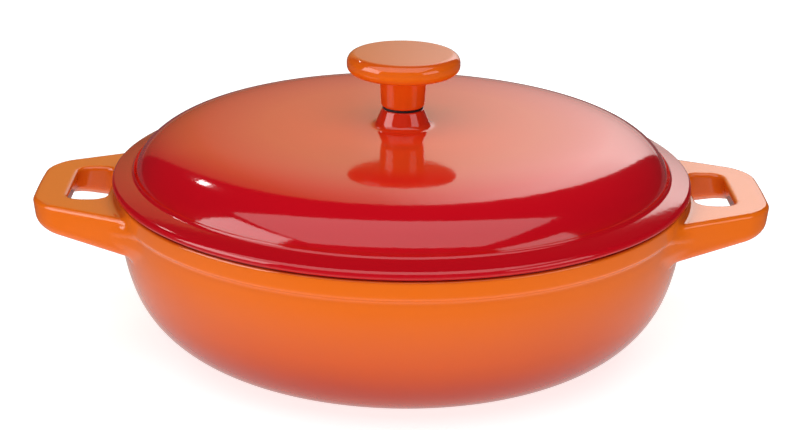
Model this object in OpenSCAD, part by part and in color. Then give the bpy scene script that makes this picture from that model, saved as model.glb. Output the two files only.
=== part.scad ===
// Shallow enamelled cast-iron braiser: round pot with two cast loop handles, and a domed lift-off lid
// whose mushroom knob is held by a screw from below. Origin at the centre of the base, +Z up, handles on X.

/* [Pot] */
// Clear radius inside the rim, over the inner enamel
rim_clear_r = 140; // [125:0.5:155]
// Thickness of the rim band, enamel included
rim_band_t = 4.5; // [4:0.1:6]
// Height of the rim above the base
rim_z = 82; // [78:0.5:96]
// Height of the proud band below the rim
band_h = 10; // [7:0.5:12]
// How far the band stands out from the belly
band_step = 1.9; // [0.8:0.1:3]
// Radius of the belly's upper curve
belly_r = 93; // [80:1:110]
// Radius of the heel between belly and base
heel_r = 50.2; // [40:0.1:54]
// Slope from upright where heel and belly curves meet
heel_angle = 19.7; // [15:0.1:24]
// Wall and floor thickness of the pot casting
pot_wall_t = 4.5; // [3.5:0.1:6]
// Width of the ring that the pot stands on
foot_ring_w = 9; // [5:0.5:20]
// Depth of the recess inside the standing ring
foot_recess = 0.8; // [0.3:0.1:1.5]

/* [Handles] */
// Distance from the centre to the outer end of a handle
handle_end_x = 184.5; // [178:0.5:200]
// Half width of a handle where it meets the pot
handle_root_y = 52; // [42:0.5:60]
// Half width of a handle at its outer end, before the corners are rounded
handle_tip_y = 32.5; // [24:0.5:38]
// Radius of a handle's outer corners
handle_corner_r = 10; // [6:0.5:16]
// Height of a handle's flat top
handle_top_z = 77.5; // [70:0.5:80]
// Height of a handle's underside at its outer end
handle_tip_z = 64; // [60:0.5:68]
// Height of a handle's underside at its root
handle_root_z = 59; // [50:0.5:62]
// Inner end of the finger gap
gap_in_x = 147.5; // [146:0.5:150]
// Outer end of the finger gap
gap_out_x = 168; // [160:0.5:171]
// Half width of the finger gap
gap_half_y = 26; // [20:0.5:30]
// Corner radius of the finger gap
gap_corner_r = 7; // [3:0.5:9]

/* [Lid] */
// Outer radius of the lid's flange
lid_r = 146; // [130:0.5:161]
// Gap between the flange's outer edge and the rim
edge_gap = 1; // [0.5:0.1:2]
// Height of the flange's outer face
flange_h = 3.8; // [3.2:0.1:6]
// Rise of the flange's top towards the dome
flange_rise = 2.4; // [0.5:0.1:3]
// Width of the flange's top
flange_w = 11; // [8:0.5:14]
// Height of the dome above the inner edge of the flange
dome_h = 20.2; // [14:0.1:26]
// Thickness of the lid casting
lid_wall_t = 3.8; // [3:0.1:5]
// Depth of the locating lip below the rim
lip_depth = 4; // [2:0.5:8]

/* [Knob] */
// Radius of the knob's disc
knob_r = 28.4; // [22:0.1:34]
// Thickness of the knob's disc
knob_disc_t = 10; // [8:0.5:12]
// Height of the knob, stem and disc together
knob_h = 27.5; // [24:0.5:36]
// Radius of the stem at its foot
stem_r = 11.1; // [9:0.1:13]
// Radius of the top of the boss on the lid
boss_r = 10.8; // [9:0.1:13]
// Height of the boss above the dome
boss_h = 8.8; // [6:0.1:12]
// Thickness of the gasket under the knob
gasket_t = 1; // [0.6:0.1:2]

/* [Fasteners] */
// Thread radius of the knob screw
screw_r = 3; // [2.5:0.5:3]
// Length of the screw under its head
screw_len = 30; // [24:1:30]
// Thickness of the fused enamel coats inside pot and lid
enamel_t = 0.4; // [0.2:0.1:0.6]

/* [Hidden] */

$fn = 180;
ARC_STEP = 4;                 // degrees between the points of a curve
EDGE_R = 1.2;                 // rounding of cast edges
ENAMEL_ORANGE = [0.93, 0.46, 0.14];
ENAMEL_RED = [0.76, 0.05, 0.10];
ENAMEL_BLACK = [0.10, 0.10, 0.10];
SEAL_BLACK = [0.06, 0.06, 0.06];
STEEL = [0.72, 0.72, 0.74];

// Pot, worked out from the rim
band_r = rim_clear_r + rim_band_t;
wall_r = band_r - band_step;
cast_rim_z = rim_z - enamel_t;
cast_rim_r = rim_clear_r + enamel_t;
belly_x = wall_r - belly_r;
heel_x = belly_x + (belly_r - heel_r) * cos(heel_angle);
belly_z = heel_r + (belly_r - heel_r) * sin(heel_angle);
step_r = 2.4;                 // radius of both halves of the soft step under the band
step_angle = acos(1 - band_step / (2 * step_r));
step_mid_z = rim_z - band_h;
step_dz = step_r * sin(step_angle);
throat_z = rim_z - 7;         // below this the inner wall turns from the rim to the belly

// Lid, worked out from the rim
flange_z = rim_z + edge_gap;
flange_top_z = flange_z + flange_h;
crease_r = lid_r - flange_w;
crease_z = flange_top_z + flange_rise;
dome_r = crease_r - 0.8;       // the dome starts inside the fillet at the crease
CREASE_FILLET = 2;
FLANGE_EDGE_R = 2.4;          // rounding of the flange's upper edge
SEAT_LAND_R = 11;             // flat land under the washers
DOME_OUT = 8.2;               // exponent that keeps the crown flat and the shoulder round
DOME_UP = 1.5;                // exponent that sets how upright the shoulder starts
CROWN_RISE = 0.8;             // height of the crown's own gentle doming
seat_in_r = rim_clear_r + 1;
seat_out_r = band_r - 1;
lip_out_r = rim_clear_r - 0.7;
lip_in_r = lip_out_r - 3.5;
lip_z = rim_z - lip_depth;
crown_z = crease_z + dome_h + CROWN_RISE;
boss_top_z = crown_z + boss_h;
boss_foot_r = boss_r + 2;
BOSS_FILLET = 4;
hole_r = screw_r + 0.3;

// Knob and fasteners, stacked upwards from the lid's underside
knob_z = boss_top_z + gasket_t;
knob_top_z = knob_z + knob_h;
disc_z = knob_top_z - knob_disc_t;
stem_top_r = stem_r + 0.7;
DISC_TOP_R = 4.6;             // rounding of the disc's upper edge
DISC_UNDER_R = 4.0;            // rounding of the disc's lower edge
STEM_FILLET = 3;
STEM_EDGE = 2;
flat_t = 1.2;
flat_r = 9;
lock_t = 1.6;
lock_r = 5.4;
lock_split = 1.2;
lining_under_z = land_z(lid_wall_t + enamel_t);
flat_z = lining_under_z - flat_t;
lock_z = flat_z - lock_t;
screw_head_r = 5.8;
screw_head_h = 3.8;
CROSS_W = 1.3;
CROSS_L = 6;
CROSS_DEPTH = 2.2;

// Points along an arc about (x, z), both ends included
function arc(x, z, r, from, to) =
    let (n = max(2, ceil(abs(to - from) / ARC_STEP)))
    [for (i = [0 : n]) let (a = from + (to - from) * i / n) [x + r * cos(a), z + r * sin(a)]];

function reversed(path) = [for (i = [len(path) - 1 : -1 : 0]) path[i]];

// Heel and belly curve from the floor up, thinned inwards by t
function belly(t) = concat(
    arc(heel_x, heel_r, heel_r - t, -90, -heel_angle),
    arc(belly_x, belly_z, belly_r - t, -heel_angle, 0));

// Cavity wall from the centre of the floor to the rim, t inside the outer surface
function cavity(t, r, z) = concat([[0, t]], belly(t), [[r, throat_z]],
    arc(r + EDGE_R, z - EDGE_R, EDGE_R, 180, 90));

// Dome height at radius r above the crease
function dome_at(r) =
    dome_h * pow(max(0, 1 - pow(r / dome_r, DOME_OUT)), 1 / DOME_UP)
    + CROWN_RISE * (1 - pow(r / dome_r, 2));

// Dome section from the crease to radius to_r; its points close up where the shoulder is steep
function dome_path(to_r, n = 40) =
    [for (i = [0 : n]) let (r = to_r + (dome_r - to_r) * sin(90 * (n - i) / n)) [r, crease_z + dome_at(r)]];

// Underside of the dome: the section moved along its own normal by t
function dome_under(t, n = 40) =
    [for (i = [0 : n])
        let (r = dome_r * sin(90 * (n - i) / n) * 0.9995,
             slope = (dome_at(r + 0.02) - dome_at(r - 0.02)) / 0.04,
             k = t / sqrt(1 + slope * slope))
        [max(0, r + k * slope), crease_z + dome_at(r) - k]];

// Height of the flat land round the screw, t below the outside
function land_z(t) = crease_z + dome_at(SEAT_LAND_R) - t;

module revolve(path) rotate_extrude() polygon(path);

// ---- Pot ----

module pot_outside() {
    revolve(concat(
        [[0, foot_recess], [heel_x - foot_ring_w - foot_recess, foot_recess], [heel_x - foot_ring_w, 0]],
        belly(0),
        arc(wall_r + step_r, step_mid_z - step_dz, step_r, 180, 180 - step_angle),
        arc(band_r - step_r, step_mid_z + step_dz, step_r, -step_angle, 0),
        arc(band_r - EDGE_R, cast_rim_z - EDGE_R, EDGE_R, 0, 90),
        [[0, cast_rim_z]]));
}

// Quarter of a handle's outline: straight flank from the pot, then the rounded outer corner
function handle_outline() =
    let (flank = atan2(handle_root_y - handle_tip_y, handle_end_x - band_r),
         cx = handle_end_x - handle_corner_r,
         cy = handle_tip_y - handle_corner_r / cos(flank) + handle_corner_r * tan(flank))
    concat([[0, 0], [0, handle_root_y + band_r * tan(flank)]],
           arc(cx, cy, handle_corner_r, 90 - flank, 0), [[handle_end_x, 0]]);

module handle_plan() {
    difference() {
        union() {
            polygon(handle_outline());
            mirror([0, 1]) polygon(handle_outline());
        }
        finger_gap_plan();
    }
}

module finger_gap_plan() {
    x0 = gap_in_x + gap_corner_r;
    x1 = gap_out_x - gap_corner_r;
    y1 = gap_half_y - gap_corner_r;
    polygon(concat(arc(x1, y1, gap_corner_r, 0, 90), arc(x0, y1, gap_corner_r, 90, 180),
                   arc(x0, -y1, gap_corner_r, 180, 270), arc(x1, -y1, gap_corner_r, 270, 360)));
}

// Side view of a handle: flat top, underside rising towards the end, rounded end
module handle_side() {
    end_r = 3.5;
    root_x = wall_r - pot_wall_t;
    polygon(concat([[root_x, handle_root_z], [band_r, handle_root_z]],
                   arc(handle_end_x - end_r, handle_tip_z + end_r, end_r, -80, 0),
                   arc(handle_end_x - end_r, handle_top_z - end_r, end_r, 0, 90),
                   [[root_x, handle_top_z]]));
}

module handle() {
    intersection() {
        translate([0, 0, handle_root_z - 1]) linear_extrude(handle_top_z - handle_root_z + 2) handle_plan();
        rotate([90, 0, 0]) translate([0, 0, -handle_root_y - 2])
            linear_extrude(2 * handle_root_y + 4) handle_side();
    }
}

module pot() {
    color(ENAMEL_ORANGE) difference() {
        union() {
            pot_outside();
            handle();
            mirror([1, 0, 0]) handle();
        }
        revolve(concat(cavity(pot_wall_t - enamel_t, cast_rim_r, cast_rim_z), [[0, cast_rim_z + 1]]));
    }
}

module pot_inner_enamel() {
    land_r = band_r - EDGE_R - 0.3;
    color(ENAMEL_BLACK) revolve(concat(
        cavity(pot_wall_t, rim_clear_r, rim_z),
        [[land_r, rim_z], [land_r, cast_rim_z]],
        reversed(cavity(pot_wall_t - enamel_t, cast_rim_r, cast_rim_z))));
}

// ---- Lid ----

// Boss from its top down to the dome, with a fillet at its foot
function boss_path() = concat(
    [[0, boss_top_z], [boss_r - 0.8, boss_top_z]],
    arc(boss_r - 0.8, boss_top_z - 0.8, 0.8, 80, 10),
    reversed(arc(boss_foot_r + BOSS_FILLET, crown_z + BOSS_FILLET, BOSS_FILLET, 265, 190)));

module lid_outside() {
    revolve(concat(
        boss_path(),
        reversed(dome_path(boss_foot_r + BOSS_FILLET + 1)),
        reversed(arc(crease_r + CREASE_FILLET, crease_z + CREASE_FILLET - 0.2, CREASE_FILLET, 258, 190)),
        arc(lid_r - FLANGE_EDGE_R, flange_top_z - FLANGE_EDGE_R, FLANGE_EDGE_R, 72, 0),
        arc(lid_r - EDGE_R, flange_z + EDGE_R, EDGE_R, 0, -90),
        [[seat_out_r + 0.4, flange_z], [seat_out_r, rim_z], [0, rim_z]]));
}

// Hollow under the lid, t below the outside; the lip's inner wall leads up into it
function lid_hollow(t) = concat(
    [[lip_in_r + 0.5, lip_z - 1], [lip_in_r, rim_z - 1]],
    [for (p = dome_under(t)) if (p[0] < lip_in_r - 2.5 && p[0] > SEAT_LAND_R + 2) p],
    [[SEAT_LAND_R, land_z(t)], [0, land_z(t)], [0, lip_z - 1]]);

module lid() {
    color(ENAMEL_RED) difference() {
        union() {
            lid_outside();
            revolve([[0, rim_z + 1], [seat_in_r, rim_z + 1], [seat_in_r, rim_z], [lip_out_r, rim_z],
                     [lip_out_r, lip_z + 1], [lip_out_r - 1, lip_z], [0, lip_z]]);
        }
        revolve(lid_hollow(lid_wall_t));
        translate([0, 0, lip_z]) cylinder(r = hole_r, h = boss_top_z);
    }
}

module lid_inner_enamel() {
    color(ENAMEL_BLACK) difference() {
        intersection() {
            revolve(lid_hollow(lid_wall_t));
            translate([0, 0, rim_z + 1]) cylinder(r = lid_r, h = crown_z);
        }
        revolve(lid_hollow(lid_wall_t + enamel_t));
        translate([0, 0, lip_z]) cylinder(r = hole_r, h = boss_top_z);
    }
}

// ---- Knob and its fixings ----

module knob() {
    color(ENAMEL_ORANGE) difference() {
        revolve(concat(
            [[0, knob_z]],
            arc(stem_r - STEM_EDGE, knob_z + STEM_EDGE, STEM_EDGE, -90, 0),
            reversed(arc(stem_top_r + STEM_FILLET, disc_z - STEM_FILLET, STEM_FILLET, 90, 180)),
            arc(knob_r - DISC_UNDER_R, disc_z + DISC_UNDER_R, DISC_UNDER_R, -90, 0),
            arc(knob_r - DISC_TOP_R, knob_top_z - DISC_TOP_R, DISC_TOP_R, 0, 90),
            [[0, knob_top_z]]));
        translate([0, 0, knob_z - 1]) cylinder(r = screw_r, h = lock_z + screw_len - knob_z + 3);
    }
}

module knob_gasket() {
    color(SEAL_BLACK) translate([0, 0, boss_top_z]) difference() {
        cylinder(r = boss_r - 0.6, h = gasket_t);
        translate([0, 0, -1]) cylinder(r = hole_r, h = gasket_t + 2);
    }
}

module knob_screw() {
    color(STEEL) difference() {
        union() {
            revolve(concat([[0, lock_z]], [[screw_head_r, lock_z]],
                arc(screw_head_r - 2, lock_z - screw_head_h + 2, 2, 0, -90), [[0, lock_z - screw_head_h]]));
            translate([0, 0, lock_z - 0.5]) cylinder(r = screw_r, h = screw_len + 0.5);
        }
        for (turn = [0, 90]) rotate(turn)
            translate([-CROSS_L / 2, -CROSS_W / 2, lock_z - screw_head_h - 1])
                cube([CROSS_L, CROSS_W, CROSS_DEPTH + 1]);
    }
}

module lock_washer() {
    color(STEEL) translate([0, 0, lock_z]) difference() {
        cylinder(r = lock_r, h = lock_t);
        translate([0, 0, -1]) cylinder(r = hole_r, h = lock_t + 2);
        translate([hole_r - 1, -lock_split / 2, -1]) cube([lock_r, lock_split, lock_t + 2]);
    }
}

module flat_washer() {
    color(STEEL) translate([0, 0, flat_z]) difference() {
        cylinder(r = flat_r, h = flat_t);
        translate([0, 0, -1]) cylinder(r = hole_r, h = flat_t + 2);
    }
}

pot();
pot_inner_enamel();
lid();
lid_inner_enamel();
knob();
knob_gasket();
knob_screw();
lock_washer();
flat_washer();
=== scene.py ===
"""Looks of an enamelled cast-iron braiser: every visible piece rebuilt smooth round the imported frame."""

import math

import bpy
import numpy as np
from mathutils import Matrix, Vector


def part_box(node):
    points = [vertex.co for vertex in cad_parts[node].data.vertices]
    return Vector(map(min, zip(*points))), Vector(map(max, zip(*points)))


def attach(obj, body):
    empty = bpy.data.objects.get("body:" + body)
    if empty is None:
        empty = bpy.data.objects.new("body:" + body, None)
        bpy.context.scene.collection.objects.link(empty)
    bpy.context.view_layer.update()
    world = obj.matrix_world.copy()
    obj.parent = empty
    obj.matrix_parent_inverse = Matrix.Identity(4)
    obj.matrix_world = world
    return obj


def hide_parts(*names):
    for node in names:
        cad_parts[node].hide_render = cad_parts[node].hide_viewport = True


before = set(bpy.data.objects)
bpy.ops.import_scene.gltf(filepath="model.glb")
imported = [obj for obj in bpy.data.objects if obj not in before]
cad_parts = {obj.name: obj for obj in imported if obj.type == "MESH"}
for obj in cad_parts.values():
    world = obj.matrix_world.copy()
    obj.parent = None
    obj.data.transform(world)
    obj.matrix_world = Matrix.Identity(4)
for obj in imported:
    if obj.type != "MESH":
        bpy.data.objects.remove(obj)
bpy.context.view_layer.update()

MM = 0.001

# ---------------------------------------------------------------- sizes, in millimetres
# What the frame can tell is read from it; the rest repeats the part's own driving dimensions.


def box_mm(node):
    """Low and high corner of a CAD node, in millimetres."""
    low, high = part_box(node)
    return [v / MM for v in low], [v / MM for v in high]


POT_HIGH = box_mm("pot")[1]
LINER_HIGH = box_mm("pot_inner_enamel")[1]
LID_LOW, LID_HIGH = box_mm("lid")
KNOB_LOW, KNOB_HIGH = box_mm("knob")
GASKET_LOW, GASKET_HIGH = box_mm("knob_gasket")
FLAT_LOW, FLAT_HIGH = box_mm("flat_washer")
LOCK_LOW, LOCK_HIGH = box_mm("lock_washer")

ENAMEL_T = 0.4
EDGE_R = 1.2

RIM_Z = LINER_HIGH[2]
CAST_RIM_Z = POT_HIGH[2]
BAND_R = POT_HIGH[1]
RIM_CLEAR_R = 140.0
BAND_H = 10.0
BAND_STEP = 1.9
BELLY_R = 93.0
HEEL_R = 50.2
HEEL_ANGLE = 19.7
POT_WALL_T = 4.5
FOOT_RING_W = 9.0
FOOT_RECESS = 0.8
STEP_R = 2.4
THROAT_DROP = 7.0

HANDLE_END_X = POT_HIGH[0]
HANDLE_ROOT_Y = 52.0
HANDLE_TIP_Y = 32.5
HANDLE_CORNER_R = 12.0
HANDLE_TOP_Z = 77.7
HANDLE_TIP_Z = 64.0
HANDLE_ROOT_Z = 59.0
HANDLE_EDGE_R, HANDLE_UNDER_R = 2.4, 4.5
# The end face bows back towards its corners, and leans in by its draft for every millimetre down.
HANDLE_BOW = 0.9
HANDLE_DRAFT = 0.13
GAP_IN_X, GAP_OUT_X = 147.5, 167.4
GAP_DRAFT = 0.2
GAP_HALF_Y = 25.0
GAP_CORNER_R = 7.5
GAP_EDGE_R, GAP_UNDER_R = 1.9, 2.6
# The underside rises by this much round the gap, over this width.
GAP_HOLLOW, GAP_HOLLOW_W = 3.6, 8.0
# Fillet where the handle meets the band: small above and below, wide on the flanks.
ROOT_FILLET, FLANK_FILLET = 3.0, 9.0
FILLET_CHANGE_H = 8.0

LID_R = LID_HIGH[0]
EDGE_GAP = 1.0
FLANGE_H = 3.8
FLANGE_RISE = 2.4
FLANGE_W = 11.0
FLANGE_EDGE_R = 2.4
CREASE_FILLET = 2.0
DOME_H = 20.2
# Powers of the dome's section: how square its shoulder is, outwards and upwards.
DOME_OUT, DOME_UP = 8.2, 1.5
CROWN_RISE = 0.8
LID_WALL_T = 3.8
LIP_T = 3.5
BOSS_R = 10.8
BOSS_EDGE_R = 0.8
BOSS_FLARE = 2.0
BOSS_FILLET = 4.0
HOLE_R = 3.3
SEAT_LAND_R = 11.0

KNOB_R = KNOB_HIGH[0]
DISC_T = 10.0
DISC_TOP_R, DISC_UNDER_R = 4.6, 4.0
STEM_R, STEM_FLARE = 11.1, 0.7
STEM_EDGE, STEM_FILLET = 2.0, 3.0
SCREW_R = 3.0
SCREW_REACH = 32.0

WALL_R = BAND_R - BAND_STEP
BELLY_X = WALL_R - BELLY_R
HEEL_X = BELLY_X + (BELLY_R - HEEL_R) * math.cos(math.radians(HEEL_ANGLE))
BELLY_Z = HEEL_R + (BELLY_R - HEEL_R) * math.sin(math.radians(HEEL_ANGLE))
STEP_ANGLE = math.degrees(math.acos(1 - BAND_STEP / (2 * STEP_R)))
STEP_DZ = STEP_R * math.sin(math.radians(STEP_ANGLE))
STEP_MID_Z = RIM_Z - BAND_H
FLANGE_Z = RIM_Z + EDGE_GAP
FLANGE_TOP_Z = FLANGE_Z + FLANGE_H
CREASE_R = LID_R - FLANGE_W
CREASE_Z = FLANGE_TOP_Z + FLANGE_RISE
DOME_R = CREASE_R - 0.8
CROWN_Z = CREASE_Z + DOME_H + CROWN_RISE
BOSS_TOP_Z = LID_HIGH[2]
LIP_OUT_R = RIM_CLEAR_R - 0.7


# ---------------------------------------------------------------- curves and meshes


def arc(x, z, r, start, end, step=4.0):
    """Points on an arc about (x, z), both ends included."""
    n = max(2, int(math.ceil(abs(end - start) / step)))
    angles = [math.radians(start + (end - start) * i / n) for i in range(n + 1)]
    return [(x + r * math.cos(a), z + r * math.sin(a)) for a in angles]


def item_end(item, last):
    """First or last point of a section item: a section lists points and arcs (x, z, r, start, end)."""
    if len(item) == 2:
        return item
    x, z, r, start, end = item
    a = math.radians(end if last else start)
    return (x + r * math.cos(a), z + r * math.sin(a))


def section_points(section, step=4.0):
    """Points along a section, arcs in steps; a point that repeats the one before it is left out."""
    out = []
    for item in section:
        for point in [item] if len(item) == 2 else arc(*item, step):
            if not out or math.dist(point, out[-1]) > 0.001:
                out.append(point)
    return out


def smooth_object(name, verts, faces, normals=None, sharp=math.radians(38)):
    """A mesh object from vertices in millimetres, shaded smooth but for its sharp edges."""
    mesh = bpy.data.meshes.new(name)
    mesh.from_pydata([(x * MM, y * MM, z * MM) for x, y, z in verts], [], faces)
    mesh.update()
    mesh.polygons.foreach_set("use_smooth", [True] * len(mesh.polygons))
    if normals is None:
        mesh.set_sharp_from_angle(angle=sharp)
    else:
        mesh.normals_split_custom_set_from_vertices([tuple(n) for n in normals])
    mesh.validate()
    obj = bpy.data.objects.new(name, mesh)
    bpy.context.scene.collection.objects.link(obj)
    return obj


def revolve(name, section, segments=256):
    """Turns a section of (r, z) points about Z. A section that starts and ends on the axis gets poles; any
    other is closed into a ring. The section runs anticlockwise, with r to the right."""
    verts, rings = [], []
    for r, z in section:
        if r < 1e-9:
            rings.append([len(verts)])
            verts.append((0.0, 0.0, z))
        else:
            rings.append(list(range(len(verts), len(verts) + segments)))
            for i in range(segments):
                a = 2 * math.pi * i / segments
                verts.append((r * math.cos(a), r * math.sin(a), z))
    pairs = list(zip(rings[:-1], rings[1:]))
    if len(rings[0]) > 1:
        pairs.append((rings[-1], rings[0]))
    faces = []
    for low, high in pairs:
        for i in range(segments):
            j = (i + 1) % segments
            if len(low) == 1:
                faces.append((low[0], high[j], high[i]))
            elif len(high) == 1:
                faces.append((low[i], low[j], high[0]))
            else:
                faces.append((low[i], low[j], high[j], high[i]))
    return smooth_object(name, verts, faces)


# ---------------------------------------------------------------- pot casting, from a distance field


def belly(t):
    """Heel and belly curve, thinned inwards by t, as two arcs."""
    return [(HEEL_X, HEEL_R, HEEL_R - t, -90, -HEEL_ANGLE), (BELLY_X, BELLY_Z, BELLY_R - t, -HEEL_ANGLE, 0)]


def cavity_wall(t, r, z):
    """Cavity section from the middle of the floor to the rim's land."""
    return [(0, t)] + belly(t) + [(r, RIM_Z - THROAT_DROP), (r + EDGE_R, z - EDGE_R, EDGE_R, 180, 90)]


def pot_outline():
    """Outer section of the pot without handles, closed over the top."""
    foot_r = HEEL_X - FOOT_RING_W
    return ([(0, FOOT_RECESS), (foot_r - FOOT_RECESS, FOOT_RECESS), (foot_r, 0)] + belly(0)
            + [(WALL_R + STEP_R, STEP_MID_Z - STEP_DZ, STEP_R, 180, 180 - STEP_ANGLE),
               (BAND_R - STEP_R, STEP_MID_Z + STEP_DZ, STEP_R, -STEP_ANGLE, 0),
               (BAND_R - EDGE_R, CAST_RIM_Z - EDGE_R, EDGE_R, 0, 90), (0, CAST_RIM_Z)])


def cavity_outline():
    """Section of what the casting's cavity takes out, up through the open top."""
    wall = cavity_wall(POT_WALL_T - ENAMEL_T, RIM_CLEAR_R + ENAMEL_T, CAST_RIM_Z)
    return wall + [(RIM_CLEAR_R + ENAMEL_T + EDGE_R, CAST_RIM_Z + 20), (0, CAST_RIM_Z + 20)]


def section_distance(section, r, z):
    """Signed distance from points (r, z) to a closed section, negative inside."""
    best = np.full(r.shape, 1e9)
    inside = np.zeros(r.shape, bool)
    for item in section:
        if len(item) == 5:
            cx, cz, radius, start, end = item
            (ax, az), (bx, bz) = item_end(item, False), item_end(item, True)
            middle, half = math.radians((start + end) / 2), math.radians(abs(end - start) / 2)
            dx, dz = r - cx, z - cz
            reach = np.hypot(dx, dz)
            faces = dx * math.cos(middle) + dz * math.sin(middle) >= reach * math.cos(half)
            ends = np.minimum(np.hypot(r - ax, z - az), np.hypot(r - bx, z - bz))
            best = np.minimum(best, np.where(faces, np.abs(reach - radius), ends))
            across = np.sqrt(np.maximum(radius * radius - dz * dz, 0))
            inside ^= ((az > z) != (bz > z)) & (dx < math.copysign(1, math.cos(middle)) * across)
    for item, after in zip(section, section[1:] + section[:1]):
        (ax, az), (bx, bz) = item_end(item, True), item_end(after, False)
        dx, dz = bx - ax, bz - az
        if ax > 1e-9 or bx > 1e-9:
            t = np.clip(((r - ax) * dx + (z - az) * dz) / (dx * dx + dz * dz + 1e-12), 0, 1)
            best = np.minimum(best, np.hypot(r - ax - t * dx, z - az - t * dz))
        if abs(dz) > 1e-12:
            inside ^= ((az > z) != (bz > z)) & (r < ax + (z - az) * dx / dz)
    return np.where(inside, -best, best)


def round_join(a, b, r):
    """Union of two fields with a fillet of radius r between them."""
    return np.maximum(r, np.minimum(a, b)) - np.hypot(np.maximum(r - a, 0), np.maximum(r - b, 0))


def round_cut(a, b, r):
    """Intersection of two fields with their shared edge rounded to radius r."""
    return np.minimum(-r, np.maximum(a, b)) + np.hypot(np.maximum(r + a, 0), np.maximum(r + b, 0))


def ease(t):
    """Smooth rise from 0 to 1 while t goes from 0 to 1."""
    t = np.clip(t, 0, 1)
    return t * t * (3 - 2 * t)


def handle_distance(x, y, z):
    """Field of both loop handles, which mirror each other. The underside rises round the finger gap."""
    x, y = np.abs(x), np.abs(y)
    flank = math.atan2(HANDLE_ROOT_Y - HANDLE_TIP_Y, HANDLE_END_X - BAND_R)
    side = (y - HANDLE_ROOT_Y) * math.cos(flank) + (x - BAND_R) * math.sin(flank)
    depth = np.maximum(HANDLE_TOP_Z - HANDLE_EDGE_R - z, 0)
    end = x - HANDLE_END_X + HANDLE_BOW * (y / HANDLE_TIP_Y) ** 2 + HANDLE_DRAFT * depth
    outline = round_cut(side, end, HANDLE_CORNER_R)
    out_x = GAP_OUT_X + GAP_DRAFT * depth
    gap_x = np.abs(x - (GAP_IN_X + out_x) / 2) - (out_x - GAP_IN_X) / 2 + GAP_CORNER_R
    gap_y = y - GAP_HALF_Y + GAP_CORNER_R
    gap = (np.hypot(np.maximum(gap_x, 0), np.maximum(gap_y, 0))
           + np.minimum(np.maximum(gap_x, gap_y), 0) - GAP_CORNER_R)
    slope = (HANDLE_TIP_Z - HANDLE_ROOT_Z) / (HANDLE_END_X - BAND_R)
    hollow = GAP_HOLLOW * ease(1 - gap / GAP_HOLLOW_W)
    under = (HANDLE_ROOT_Z + slope * (x - BAND_R) + hollow - z) / math.hypot(1, slope)
    bar = round_cut(round_cut(outline, under, HANDLE_UNDER_R), z - HANDLE_TOP_Z, HANDLE_EDGE_R)
    flare = GAP_EDGE_R + (GAP_UNDER_R - GAP_EDGE_R) * ease((HANDLE_TOP_Z - 2 - z) / FILLET_CHANGE_H)
    return round_cut(bar, -gap, flare)


def pot_distance(x, y, z):
    """Field of the whole casting: round pot and handles in one, with the cavity taken out. On a grid of
    rings the round parts are the same at every angle, so they are worked out at one."""
    r = np.hypot(x, y)
    once = np.s_[:, :1] if r.ndim == 3 else np.s_[:]
    body = section_distance(pot_outline(), r[once], z[once])
    cavity = section_distance(cavity_outline(), r[once], z[once])
    flank = ease((z - HANDLE_ROOT_Z + 1) / FILLET_CHANGE_H) * ease((HANDLE_TOP_Z - z) / FILLET_CHANGE_H)
    fillet = ROOT_FILLET + (FLANK_FILLET - ROOT_FILLET) * flank
    return np.maximum(round_join(body, handle_distance(x, y, z), fillet), -cavity)


def even_levels(start, *stretches):
    """Grid levels from start on: each stretch is (end, step)."""
    out = [start]
    for end, step in stretches:
        n = max(1, round((end - out[-1]) / step))
        base = out[-1]
        out += [base + (end - base) * (i + 1) / n for i in range(n)]
    return np.array(out)


def field_gradient(field, p, eps=0.02):
    """Gradient from four samples at the corners of a small tetrahedron."""
    g = np.zeros_like(p)
    for corner in ((1, -1, -1), (-1, -1, 1), (-1, 1, -1), (1, 1, 1)):
        q = p + np.array(corner) * eps
        g += field(q[:, 0], q[:, 1], q[:, 2])[:, None] * np.array(corner)
    return g / (4 * eps)


def step_pair(axis):
    """Slices that pair every grid point with the next one along an axis."""
    low = [slice(None)] * 3
    high = [slice(None)] * 3
    low[axis], high[axis] = slice(0, -1), slice(1, None)
    return low, high


def cell_points(f, corner):
    """For each grid cell, the sum of the points where its edges cross zero, and how many there are."""
    shape = tuple(n - 1 for n in f.shape)
    neg = f < 0
    total = np.zeros((*shape, 3))
    count = np.zeros(shape)
    for axis in range(3):
        others = [a for a in range(3) if a != axis]
        for sides in ((0, 0), (0, 1), (1, 0), (1, 1)):
            low, high = step_pair(axis)
            for o, k in zip(others, sides):
                low[o] = high[o] = slice(k, f.shape[o] - 1 + k)
            fa, fb = f[tuple(low)], f[tuple(high)]
            cross = neg[tuple(low)] != neg[tuple(high)]
            t = np.where(cross, fa / np.where(cross, fa - fb, 1), 0)[..., None]
            point = corner[tuple(low)] * (1 - t) + corner[tuple(high)] * t
            total += np.where(cross[..., None], point, 0)
            count += cross
    return total, count


def net_quads(neg, index):
    """One quad round every grid edge that crosses zero. The second axis goes round and meets itself."""
    nr, na, nz = index.shape
    quads = []
    for axis in range(3):
        a, b = ((1, 2), (2, 0), (0, 1))[axis]
        low, high = step_pair(axis)
        at = np.argwhere(neg[tuple(low)] != neg[tuple(high)])
        at = at[at[:, 1] < na]
        cells = []
        kept = np.ones(len(at), bool)
        for da, db in ((-1, -1), (0, -1), (0, 0), (-1, 0)):
            cell = at.copy()
            cell[:, a] += da
            cell[:, b] += db
            cell[:, 1] %= na
            kept &= (cell[:, 0] >= 0) & (cell[:, 0] < nr) & (cell[:, 2] >= 0) & (cell[:, 2] < nz)
            cells.append(cell)
        ring = np.stack([index[tuple(cell[kept].T)] for cell in cells], axis=1)
        turned = ~neg[tuple(at[kept].T)]
        ring[turned] = ring[turned, ::-1]
        quads += ring.tolist()
    return quads


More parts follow.
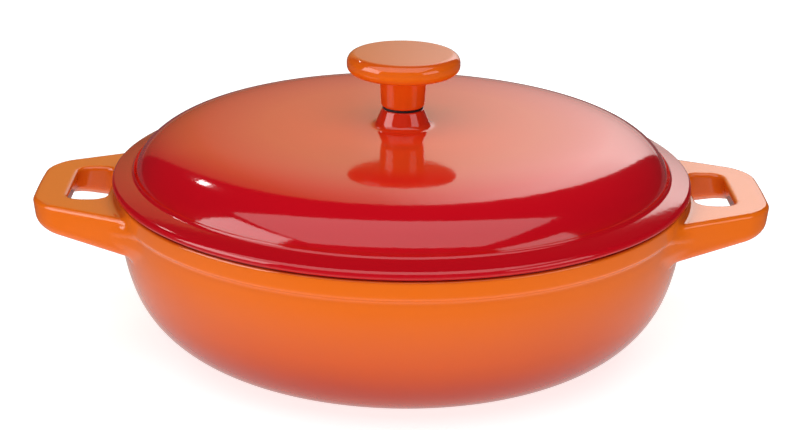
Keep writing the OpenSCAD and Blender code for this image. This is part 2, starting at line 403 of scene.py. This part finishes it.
def ring_nets(field, r, angle, z):
    """Surface nets on a grid of rings about Z: quads follow the rings, and every vertex is then moved onto
    the field's zero. Returns vertices, faces and the field's own normals there."""
    rr, aa, zz = np.meshgrid(r, angle, z, indexing="ij")
    x, y = rr * np.cos(aa), rr * np.sin(aa)
    f = field(x, y, zz)
    f = np.concatenate([f, f[:, :1]], axis=1)
    x, y, zz = (np.concatenate([v, v[:, :1]], axis=1) for v in (x, y, zz))
    neg = f < 0
    total, count = cell_points(f, np.stack([x, y, zz], axis=-1))
    used = count > 0
    index = np.full(used.shape, -1)
    index[used] = np.arange(used.sum())
    verts = total[used] / count[used][:, None]
    verts, quads = close_axis(verts, net_quads(neg, index), index, neg)
    for _ in range(2):
        g = field_gradient(field, verts)
        d = field(verts[:, 0], verts[:, 1], verts[:, 2])
        move = d / np.maximum((g * g).sum(1), 0.2)
        verts = verts - g * np.clip(move, -1.0, 1.0)[:, None]
    n = field_gradient(field, verts)
    n /= np.maximum(np.linalg.norm(n, axis=1), 1e-9)[:, None]
    return verts, quads, n


def close_axis(verts, quads, index, neg):
    """Fills the small hole that the innermost ring leaves at the axis, once for each surface there."""
    extra = []
    for k in range(index.shape[2]):
        if neg[0, 0, k] == neg[0, 0, k + 1]:
            continue
        ring = [int(i) for i in index[0, :, k]]
        pole = len(verts) + len(extra)
        extra.append((0.0, 0.0, float(verts[ring[0]][2])))
        for i in range(len(ring)):
            tri = [ring[i], ring[(i + 1) % len(ring)], pole]
            quads.append(tri if neg[0, 0, k] else tri[::-1])
    return (np.vstack([verts, extra]) if extra else verts), quads


def make_pot():
    """The casting, on a grid that is finer at the handles, the band and the foot ring."""
    fine, coarse = 0.6, 1.9
    half = 26.0
    turn = even_levels(-half, (half, fine), (180 - half, coarse), (180 + half, fine), (360 - half, coarse))
    r = even_levels(0, (77, 7), (84, 0.8), (98, 1.8), (137, 2.3), (147.5, 0.75), (187, 1.35))
    z = even_levels(-0.7, (2.3, 0.6), (58, 2.1), (83, 0.8))
    verts, faces, normals = ring_nets(pot_distance, r, np.radians(turn[:-1]), z)
    return smooth_object("pot_casting", verts, faces, normals)


# ---------------------------------------------------------------- turned pieces


def make_pot_enamel():
    """Dark coat of the inside, over the rim and down to the casting at the rim's land."""
    land_r = BAND_R - EDGE_R - 0.3
    inner = section_points(cavity_wall(POT_WALL_T, RIM_CLEAR_R, RIM_Z), 3)
    outer = section_points(cavity_wall(POT_WALL_T - ENAMEL_T, RIM_CLEAR_R + ENAMEL_T, CAST_RIM_Z), 3)
    land = [(land_r - 0.15, RIM_Z), (land_r, RIM_Z - 0.15), (land_r, CAST_RIM_Z)]
    return revolve("pot_inner_coat", (inner + land + outer[::-1])[::-1])


def dome_at(r):
    """Height of the lid's outer skin at radius r."""
    crown = CROWN_RISE * (1 - (r / DOME_R) ** 2)
    return CREASE_Z + DOME_H * max(0.0, 1 - (r / DOME_R) ** DOME_OUT) ** (1 / DOME_UP) + crown


def dome_path(to_r, n=110):
    """Dome section from its foot in to radius to_r, its points closer where the shoulder is steep."""
    out = []
    for i in range(n + 1):
        r = to_r + (DOME_R - to_r) * math.sin(math.pi / 2 * (n - i) / n)
        out.append((r, dome_at(r)))
    return out


def dome_under(t, n=70):
    """Dome section moved in along its own normal by t, from the lip in to the land round the screw."""
    out = []
    for i in range(n + 1):
        r = DOME_R * 0.9995 * math.sin(math.pi / 2 * (n - i) / n)
        slope = (dome_at(r + 0.02) - dome_at(max(0.0, r - 0.02))) / 0.04
        k = t / math.hypot(1, slope)
        x, z = r + k * slope, dome_at(r) - k
        if SEAT_LAND_R + 2 < x < LIP_OUT_R - LIP_T - 2.5:
            out.append((x, z))
    land = dome_at(SEAT_LAND_R) - t
    return out + [(SEAT_LAND_R, land), (HOLE_R, land)]


def make_lid():
    """Lid casting: boss, dome, flange, and under it the lip that centres the lid in the rim."""
    lip_z = LID_LOW[2]
    lip_in = LIP_OUT_R - LIP_T
    seat_out = BAND_R - 1
    outside = ([(HOLE_R, BOSS_TOP_Z), (BOSS_R - BOSS_EDGE_R, BOSS_TOP_Z)]
               + arc(BOSS_R - BOSS_EDGE_R, BOSS_TOP_Z - BOSS_EDGE_R, BOSS_EDGE_R, 80, 10, 10)
               + arc(BOSS_R + BOSS_FLARE + BOSS_FILLET, CROWN_Z + BOSS_FILLET, BOSS_FILLET, 190, 265, 5)
               + dome_path(BOSS_R + BOSS_FLARE + BOSS_FILLET + 1)[::-1]
               + arc(CREASE_R + CREASE_FILLET, CREASE_Z + CREASE_FILLET - 0.2, CREASE_FILLET, 190, 258, 6)
               + arc(LID_R - FLANGE_EDGE_R, FLANGE_TOP_Z - FLANGE_EDGE_R, FLANGE_EDGE_R, 72, 0, 6)
               + arc(LID_R - EDGE_R, FLANGE_Z + EDGE_R, EDGE_R, 0, -90, 10))
    below = [(seat_out + 0.4, FLANGE_Z), (seat_out, RIM_Z), (LIP_OUT_R, RIM_Z), (LIP_OUT_R, lip_z + 1),
             (LIP_OUT_R - 0.3, lip_z + 0.3), (LIP_OUT_R - 1, lip_z), (lip_in + 0.4, lip_z),
             (lip_in, RIM_Z - 1)]
    return revolve("lid_casting", (outside + below + dome_under(LID_WALL_T))[::-1], 288)


def make_lid_enamel():
    """Dark coat of the lid's underside, from the lip in to the screw hole."""
    lip_in = LIP_OUT_R - LIP_T
    start = RIM_Z + 1
    outer, inner = dome_under(LID_WALL_T), dome_under(LID_WALL_T + ENAMEL_T)
    foot = [(lip_in - 0.2, start), (lip_in - 0.9, start)]
    return revolve("lid_inner_coat", foot[:1] + outer + inner[::-1] + foot[1:])


def make_knob():
    """Mushroom knob with its blind screw hole."""
    base, top = KNOB_LOW[2], KNOB_HIGH[2]
    disc = top - DISC_T
    hole_top = LOCK_LOW[2] + SCREW_REACH
    section = ([(0, hole_top), (SCREW_R, hole_top), (SCREW_R, base)]
               + arc(STEM_R - STEM_EDGE, base + STEM_EDGE, STEM_EDGE, -90, 0, 9)
               + arc(STEM_R + STEM_FLARE + STEM_FILLET, disc - STEM_FILLET, STEM_FILLET, 180, 90, 9)
               + arc(KNOB_R - DISC_UNDER_R, disc + DISC_UNDER_R, DISC_UNDER_R, -90, 0, 6)
               + arc(KNOB_R - DISC_TOP_R, top - DISC_TOP_R, DISC_TOP_R, 0, 90, 5) + [(0, top)])
    return revolve("knob_body", section, 192)


def flat_ring(r, low, high, edge):
    """Section of a flat ring round the screw, its outer edges chamfered."""
    return [(HOLE_R, low), (r - edge, low), (r, low + edge), (r, high - edge), (r - edge, high),
            (HOLE_R, high)]


def make_gasket():
    return revolve("knob_seal", flat_ring(GASKET_HIGH[0], GASKET_LOW[2], GASKET_HIGH[2], 0.25), 128)


def make_flat_washer():
    return revolve("plain_washer", flat_ring(FLAT_HIGH[0], FLAT_LOW[2], FLAT_HIGH[2], 0.2), 96)


def make_lock_washer():
    """Split spring washer, pressed almost flat, its two ends a hair apart in height."""
    r, low, high = LOCK_HIGH[0], LOCK_LOW[2], LOCK_HIGH[2]
    rise, edge, turns = 0.16, 0.12, 72
    gap = math.asin(0.6 / HOLE_R)
    verts, faces = [], []
    for i in range(turns + 1):
        a = gap + (2 * math.pi - 2 * gap) * i / turns
        foot = low + rise * i / turns
        head = foot + high - low - rise
        section = [(HOLE_R + edge, foot), (r - edge, foot), (r, foot + edge), (r, head - edge),
                   (r - edge, head), (HOLE_R + edge, head), (HOLE_R, head - edge), (HOLE_R, foot + edge)]
        verts += [(q * math.cos(a), q * math.sin(a), z) for q, z in section]
    for i in range(turns):
        for k in range(8):
            n = (k + 1) % 8
            faces.append((8 * i + k, 8 * i + 8 + k, 8 * i + 8 + n, 8 * i + n))
    faces.append(tuple(range(8)))
    faces.append(tuple(8 * turns + k for k in reversed(range(8))))
    return smooth_object("spring_washer", verts, faces, sharp=math.radians(30))


# ---------------------------------------------------------------- materials


def node_material(name):
    """A new node material, with its node tree and its shader."""
    mat = bpy.data.materials.new(name)
    mat.use_nodes = True
    tree = mat.node_tree
    return mat, tree, tree.nodes["Principled BSDF"]


def add(tree, kind, **inputs):
    """A new node; an underscore in an input's name stands for a space."""
    node = tree.nodes.new(kind)
    for key, value in inputs.items():
        node.inputs[key.replace("_", " ")].default_value = value
    return node


def noise(tree, scale, detail=3.0, roughness=0.5):
    """Noise over the piece's own coordinates; scale is in features per metre."""
    place = tree.nodes.new("ShaderNodeTexCoord")
    node = add(tree, "ShaderNodeTexNoise", Scale=scale, Detail=detail, Roughness=roughness)
    tree.links.new(place.outputs["Object"], node.inputs["Vector"])
    return node


def ramp(tree, source, stops):
    """Colours that follow source; stops are (position, colour)."""
    node = tree.nodes.new("ShaderNodeValToRGB")
    ring = node.color_ramp
    while len(ring.elements) < len(stops):
        ring.elements.new(0.5)
    for element, (place, colour) in zip(ring.elements, stops):
        element.position = place
        element.color = (*colour, 1) if len(colour) == 3 else colour
    tree.links.new(source, node.inputs["Fac"])
    return node


def spread(tree, source, low, high):
    """Source, which runs from 0 to 1, brought to low to high."""
    node = add(tree, "ShaderNodeMapRange", To_Min=low, To_Max=high)
    tree.links.new(source, node.inputs["Value"])
    return node


def bump(tree, shader, source, strength, distance):
    node = add(tree, "ShaderNodeBump", Strength=strength, Distance=distance)
    tree.links.new(source, node.inputs["Height"])
    tree.links.new(node.outputs["Normal"], shader.inputs["Normal"])
    return node


def enamel(name, place, stops, painted_shade_colour, rough=(0.05, 0.12)):
    """Glossy fired enamel. place(tree) gives a 0 to 1 position over the piece, stops its colours there.
    In nooks, found by ambient occlusion, it turns towards painted_shade_colour: painted shade."""
    mat, tree, shader = node_material(name)
    shader.inputs["IOR"].default_value = 1.52
    position = place(tree)
    cloud = noise(tree, 18, 2)
    shift = add(tree, "ShaderNodeMath")
    shift.operation = "MULTIPLY_ADD"
    shift.inputs[1].default_value = 0.06
    tree.links.new(cloud.outputs["Fac"], shift.inputs[0])
    tree.links.new(position, shift.inputs[2])
    colour = ramp(tree, shift.outputs[0], stops)
    # Painted shade: ambient occlusion pulls the colour towards the given shade colour in nooks and hollows.
    open_side = add(tree, "ShaderNodeAmbientOcclusion", Distance=0.03)
    open_side.samples = 6
    painted_shade_amount = add(tree, "ShaderNodeMapRange", From_Min=0.25, From_Max=0.95, To_Min=1.0, To_Max=0.0)
    tree.links.new(open_side.outputs["AO"], painted_shade_amount.inputs["Value"])
    painted_shade_mix = tree.nodes.new("ShaderNodeMix")
    painted_shade_mix.data_type = "RGBA"
    tree.links.new(painted_shade_amount.outputs["Result"], painted_shade_mix.inputs[0])
    tree.links.new(colour.outputs["Color"], painted_shade_mix.inputs[6])
    painted_shade_mix.inputs[7].default_value = (*painted_shade_colour, 1)
    tree.links.new(painted_shade_mix.outputs[2], shader.inputs["Base Color"])
    smear = noise(tree, 55, 4, 0.6)
    rough_range = spread(tree, smear.outputs["Fac"], *rough)
    tree.links.new(rough_range.outputs["Result"], shader.inputs["Roughness"])
    peel = noise(tree, 260, 2)
    bump(tree, shader, peel.outputs["Fac"], 0.08, 0.0004)
    return mat


def along_z(low, high):
    """Position over the piece: 0 at height low, 1 at height high."""
    def place(tree):
        coord = tree.nodes.new("ShaderNodeTexCoord")
        split = tree.nodes.new("ShaderNodeSeparateXYZ")
        tree.links.new(coord.outputs["Object"], split.inputs[0])
        node = add(tree, "ShaderNodeMapRange", From_Min=low * MM, From_Max=high * MM)
        tree.links.new(split.outputs["Z"], node.inputs["Value"])
        return node.outputs["Result"]
    return place


def along_radius(low, high):
    """Position over the piece: 0 at radius low from its axis, 1 at radius high."""
    def place(tree):
        coord = tree.nodes.new("ShaderNodeTexCoord")
        flat = tree.nodes.new("ShaderNodeVectorMath")
        flat.operation = "MULTIPLY"
        flat.inputs[1].default_value = (1, 1, 0)
        length = tree.nodes.new("ShaderNodeVectorMath")
        length.operation = "LENGTH"
        tree.links.new(coord.outputs["Object"], flat.inputs[0])
        tree.links.new(flat.outputs["Vector"], length.inputs[0])
        node = add(tree, "ShaderNodeMapRange", From_Min=low * MM, From_Max=high * MM)
        tree.links.new(length.outputs["Value"], node.inputs["Value"])
        return node.outputs["Result"]
    return place


def dark_enamel():
    mat, tree, shader = node_material("dark_inner_enamel")
    speck = noise(tree, 900, 2)
    stops = [(0.35, (0.012, 0.011, 0.010)), (0.75, (0.03, 0.028, 0.026))]
    colour = ramp(tree, speck.outputs["Fac"], stops)
    tree.links.new(colour.outputs["Color"], shader.inputs["Base Color"])
    smear = noise(tree, 60, 4)
    rough = spread(tree, smear.outputs["Fac"], 0.28, 0.42)
    tree.links.new(rough.outputs["Result"], shader.inputs["Roughness"])
    grain = noise(tree, 700, 3)
    bump(tree, shader, grain.outputs["Fac"], 0.15, 0.0003)
    return mat


def seal_rubber():
    mat, tree, shader = node_material("seal_rubber")
    dust = noise(tree, 1200, 3)
    colour = ramp(tree, dust.outputs["Fac"], [(0.3, (0.004, 0.004, 0.004)), (0.8, (0.012, 0.012, 0.012))])
    tree.links.new(colour.outputs["Color"], shader.inputs["Base Color"])
    rough = spread(tree, dust.outputs["Fac"], 0.6, 0.8)
    tree.links.new(rough.outputs["Result"], shader.inputs["Roughness"])
    bump(tree, shader, dust.outputs["Fac"], 0.2, 0.0002)
    return mat


def steel():
    mat, tree, shader = node_material("stainless_steel")
    shader.inputs["Metallic"].default_value = 1.0
    stain = noise(tree, 500, 4)
    colour = ramp(tree, stain.outputs["Fac"], [(0.3, (0.52, 0.52, 0.53)), (0.7, (0.66, 0.66, 0.67))])
    tree.links.new(colour.outputs["Color"], shader.inputs["Base Color"])
    rough = spread(tree, stain.outputs["Fac"], 0.22, 0.42)
    tree.links.new(rough.outputs["Result"], shader.inputs["Roughness"])
    grain = noise(tree, 3000, 2)
    bump(tree, shader, grain.outputs["Fac"], 0.1, 0.0001)
    return mat


def glossy_swap(tree, factor, usual, mirrored, output):
    """Shows the usual shader, but swaps in the mirrored one where glossy pieces reflect it, by factor."""
    mix = tree.nodes.new("ShaderNodeMixShader")
    tree.links.new(factor, mix.inputs["Fac"])
    tree.links.new(usual.outputs[0], mix.inputs[1])
    tree.links.new(mirrored.outputs[0], mix.inputs[2])
    tree.links.new(mix.outputs[0], tree.nodes[output].inputs["Surface"])


def beyond_patch(tree):
    """Rises outside the oval patch of floor under the pot, for rays from glossy pieces only."""
    coord = tree.nodes.new("ShaderNodeTexCoord")
    length = tree.nodes.new("ShaderNodeVectorMath")
    length.operation = "LENGTH"
    patch = tree.nodes.new("ShaderNodeVectorMath")
    patch.operation = "MULTIPLY_ADD"
    patch.inputs[1].default_value = (1, 1.25, 1)
    patch.inputs[2].default_value = (0, 0.06, 0)
    tree.links.new(coord.outputs["Object"], patch.inputs[0])
    tree.links.new(patch.outputs["Vector"], length.inputs[0])
    far = add(tree, "ShaderNodeMapRange", From_Min=0.17, From_Max=0.36, To_Min=0.4, To_Max=1.0)
    tree.links.new(length.outputs["Value"], far.inputs["Value"])
    path = tree.nodes.new("ShaderNodeLightPath")
    both = tree.nodes.new("ShaderNodeMath")
    both.operation = "MULTIPLY"
    tree.links.new(far.outputs["Result"], both.inputs[0])
    tree.links.new(path.outputs["Is Glossy Ray"], both.inputs[1])
    return both.outputs[0]


def floor_material():
    """White floor, lit from below as well, so that it stays white round the pot. The glossy pot mirrors
    mostly the patch it stands on, as it would on a small light table."""
    mat, tree, shader = node_material("studio_floor")
    mottle = noise(tree, 3, 2)
    colour = ramp(tree, mottle.outputs["Fac"], [(0.3, (0.60, 0.60, 0.60)), (0.7, (0.62, 0.62, 0.62))])
    tree.links.new(colour.outputs["Color"], shader.inputs["Base Color"])
    tree.links.new(colour.outputs["Color"], shader.inputs["Emission Color"])
    shader.inputs["Emission Strength"].default_value = 1.25
    rough = spread(tree, mottle.outputs["Fac"], 0.55, 0.65)
    tree.links.new(rough.outputs["Result"], shader.inputs["Roughness"])
    table_end = tree.nodes.new("ShaderNodeEmission")
    table_end.inputs["Color"].default_value = (0.1, 0.1, 0.1, 1)
    glossy_swap(tree, beyond_patch(tree), shader, table_end, "Material Output")
    return mat


# Position and colour: the pot's from foot to rim, the knob's upwards, the lid's from boss to flange.
POT_STOPS = [(0.0, (0.29, 0.008, 0.005)), (0.25, (0.41, 0.022, 0.004)), (0.5, (0.66, 0.085, 0.003)),
             (0.85, (0.86, 0.158, 0.006))]
# Painted light and shade: the knob is brighter low on its stem, in the shade under the disc, and darker
# over its top face.
KNOB_STOPS = [(0.0, (1.00, 0.150, 0.014)), (0.55, (1.00, 0.190, 0.005)), (0.8, (0.96, 0.180, 0.005)),
              (1.0, (0.72, 0.095, 0.006))]
# Painted light: the first stop brightens the boss, which lies in the knob's shade. The lid then goes from
# orange-red to deep red outwards.
LID_STOPS = [(0.0, (1.00, 0.075, 0.012)), (0.05, (0.82, 0.060, 0.009)), (0.5, (0.76, 0.046, 0.010)),
             (0.66, (0.73, 0.015, 0.010)), (0.76, (0.72, 0.0030, 0.011)), (0.92, (0.61, 0.0028, 0.011)),
             (1.0, (0.53, 0.0026, 0.010))]

# The last colour given to each enamel is its painted shade in nooks.
pot_enamel = enamel("orange_pot_enamel", along_z(0, RIM_Z), POT_STOPS, (0.42, 0.035, 0.003))
knob_enamel = enamel("orange_knob_enamel", along_z(120, 148), KNOB_STOPS, (0.98, 0.100, 0.006))
lid_enamel = enamel("red_lid_enamel", along_radius(10, 135), LID_STOPS, (0.80, 0.016, 0.009))
coat_dark = dark_enamel()
rubber = seal_rubber()
metal = steel()


def dress(obj, mat, body, node):
    """Gives a piece its material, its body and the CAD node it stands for."""
    obj.data.materials.clear()
    obj.data.materials.append(mat)
    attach(obj, body)
    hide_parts(node)


dress(make_pot(), pot_enamel, "pot", "pot")
dress(make_pot_enamel(), coat_dark, "pot", "pot_inner_enamel")
dress(make_lid(), lid_enamel, "lid", "lid")
dress(make_lid_enamel(), coat_dark, "lid", "lid_inner_enamel")
dress(make_knob(), knob_enamel, "lid", "knob")
dress(make_gasket(), rubber, "lid", "knob_gasket")
dress(make_flat_washer(), metal, "lid", "flat_washer")
dress(make_lock_washer(), metal, "lid", "lock_washer")
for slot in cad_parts["knob_screw"].material_slots:
    slot.material = metal

# ---------------------------------------------------------------- studio


def make_floor():
    """A wide plain floor at the foot ring's height."""
    size = 12.0
    mesh = bpy.data.meshes.new("studio_floor")
    corners = [(-size, -size, 0), (size, -size, 0), (size, size, 0), (-size, size, 0)]
    mesh.from_pydata(corners, [], [(0, 1, 2, 3)])
    obj = bpy.data.objects.new("studio_floor", mesh)
    obj.data.materials.append(floor_material())
    bpy.context.scene.collection.objects.link(obj)


def panel(name, centre, target, size, radiance, shape="RECTANGLE"):
    """A soft light panel of the given width and height that shines the same over all of its face."""
    light = bpy.data.lights.new(name, "AREA")
    light.shape = shape
    light.size, light.size_y = size
    area = size[0] * size[1] * (math.pi / 4 if shape == "ELLIPSE" else 1)
    light.energy = radiance * math.pi * area
    obj = bpy.data.objects.new(name, light)
    obj.location = centre
    aim = Vector(target) - Vector(centre)
    obj.rotation_euler = aim.to_track_quat("-Z", "Y").to_euler()
    bpy.context.scene.collection.objects.link(obj)
    return obj


def shade_across(obj, stops, foot):
    """Colours a panel's light from one side to the other, and dims it towards its foot."""
    obj.data.use_nodes = True
    tree = obj.data.node_tree
    emission = tree.nodes["Emission"]
    place = tree.nodes.new("ShaderNodeNewGeometry")
    split = tree.nodes.new("ShaderNodeSeparateXYZ")
    tree.links.new(place.outputs["Parametric"], split.inputs[0])
    colour = ramp(tree, split.outputs["X"], stops)
    tree.links.new(colour.outputs["Color"], emission.inputs["Color"])
    rise = add(tree, "ShaderNodeMapRange", From_Min=0.33, From_Max=0.55, To_Min=foot, To_Max=1.0)
    tree.links.new(split.outputs["Y"], rise.inputs["Value"])
    tree.links.new(rise.outputs["Result"], emission.inputs["Strength"])


def make_lights():
    """Soft panels round the pot. The side ones and the spark show only as reflections."""
    back = panel("back_panel", (-0.05, 1.6, 0.62), (-0.05, 0, 0.62), (1.85, 2.8), 3.0, "ELLIPSE")
    fade = [(0.0, (0.95, 0.92, 0.88)), (0.22, (0.85, 0.85, 0.78)), (0.5, (0.30, 0.29, 0.18)),
            (0.7, (0.2, 0.18, 0.06)), (1.0, (0.1, 0.06, 0.03))]
    shade_across(back, fade, 0.3)
    panel("top_panel", (-0.17, -0.85, 1.8), (-0.17, -0.7, 0), (3.15, 2.3), 1.8)
    left = panel("left_panel", (-1.9, -0.8, 0.95), (0, -0.8, 0.95), (1.6, 1.6), 4.6)
    right = panel("right_panel", (1.9, -1.45, 0.7), (0, -1.45, 0.7), (1.8, 1.0), 2.2)
    spark = panel("spark", (-1.0, 1.35, 1.4), (0, 0, 0.1), (0.16, 0.11), 16.0)
    for mirrored in (left, right, spark):
        mirrored.visible_diffuse = False
    front = panel("front_fill", (-0.4, -2.6, 0.9), (0, 0, 0.1), (3.0, 1.4), 1.35)
    front.visible_glossy = False


def make_world():
    """Even pale surroundings, which the glossy pieces mirror much darker than they shine."""
    world = bpy.data.worlds.new("studio")
    bpy.context.scene.world = world
    world.use_nodes = True
    tree = world.node_tree
    sky = tree.nodes["Background"]
    sky.inputs["Strength"].default_value = 0.34
    dark = tree.nodes.new("ShaderNodeBackground")
    dark.inputs["Strength"].default_value = 0.03
    path = tree.nodes.new("ShaderNodeLightPath")
    glossy_swap(tree, path.outputs["Is Glossy Ray"], sky, dark, "World Output")


def make_camera():
    """Looks down on the lid from about a metre in front, a hair from the left and a hair rolled."""
    data = bpy.data.cameras.new("camera")
    data.lens = 89.8
    obj = bpy.data.objects.new("camera", data)
    pitch, roll, yaw = math.radians(90 - 19.577), math.radians(0.901), math.radians(-0.809)
    obj.matrix_world = (Matrix.Translation((-0.0142, -0.9631, 0.4043)) @ Matrix.Rotation(yaw, 4, "Z")
                        @ Matrix.Rotation(pitch, 4, "X") @ Matrix.Rotation(roll, 4, "Z"))
    bpy.context.scene.collection.objects.link(obj)
    bpy.context.scene.camera = obj


make_floor()
make_lights()
make_world()
make_camera()
bpy.context.scene.view_settings.view_transform = "Standard"
